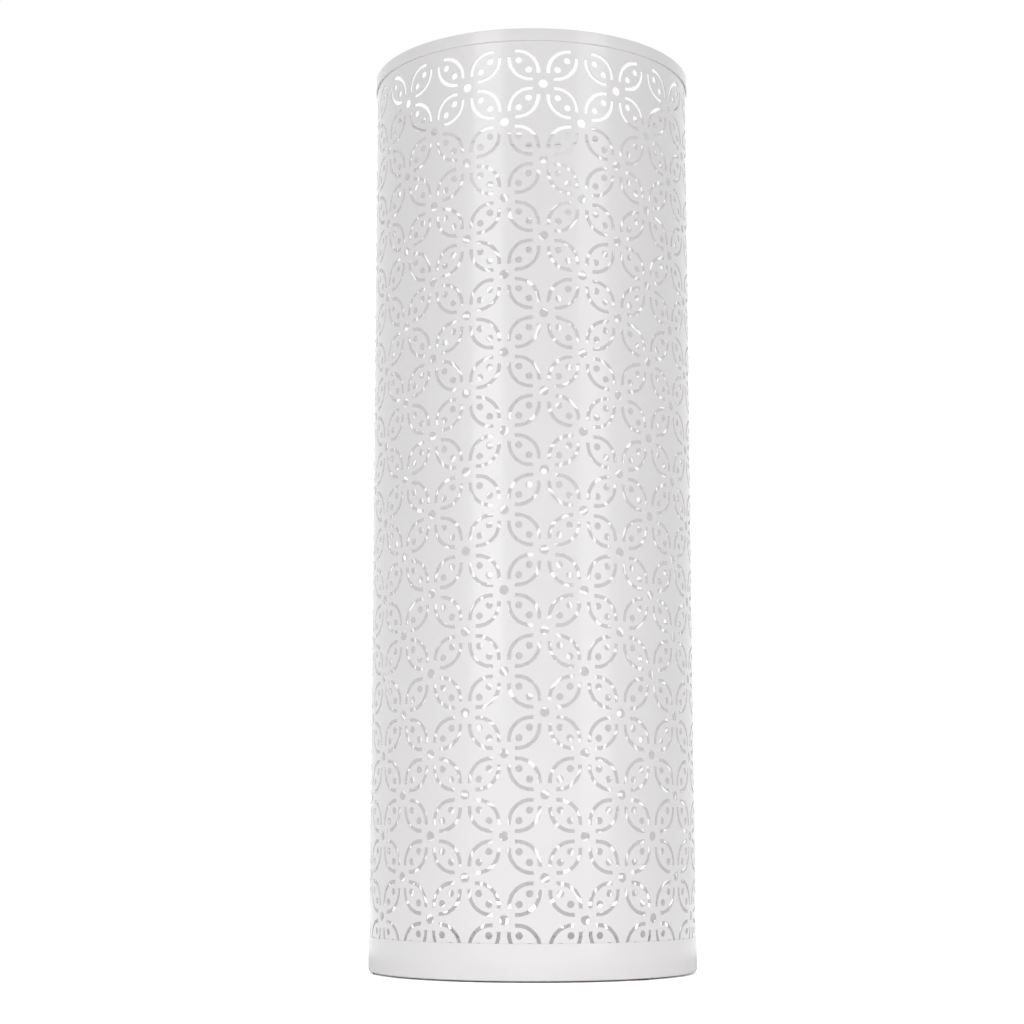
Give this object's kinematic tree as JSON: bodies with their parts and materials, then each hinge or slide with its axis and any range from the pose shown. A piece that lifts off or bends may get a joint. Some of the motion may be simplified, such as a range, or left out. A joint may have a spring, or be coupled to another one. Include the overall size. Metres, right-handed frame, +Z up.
{
  "type": "umbrella stand",
  "caption": "Tall round umbrella stand of rolled perforated sheet with a four-petal lattice, a plain cap ring, a base pan on rubber feet and a lift-out drip tray.",
  "frame": {"origin": "middle of the stand on the floor, in the plane of the feet's lower faces", "axes": "+Z up along the tube's axis, -Y towards the front that the picture shows, +X to the right"},
  "size_m": [0.1967, 0.1966, 0.5508],
  "materials": {
    "shell_coat": "satin white powder coat",
    "rim_coat": "satin white powder coat",
    "pan_coat": "satin white powder coat",
    "tray_plastic": "matte moulded plastic",
    "foot_rubber": "matte moulded rubber"
  },
  "bodies": {
    "stand": {"perforated_shell": "shell_coat", "top_rim": "rim_coat", "base_pan": "pan_coat", "foot_left": "foot_rubber", "foot_right": "foot_rubber", "foot_back": "foot_rubber"},
    "tray": {"drip_tray": "tray_plastic"}
  },
  "joints": [
    {"name": "tray_lift", "type": "slide", "parent": "stand", "child": "tray", "axis": [0, 0, 1], "range_m": [0, 0.56]}
  ]
}
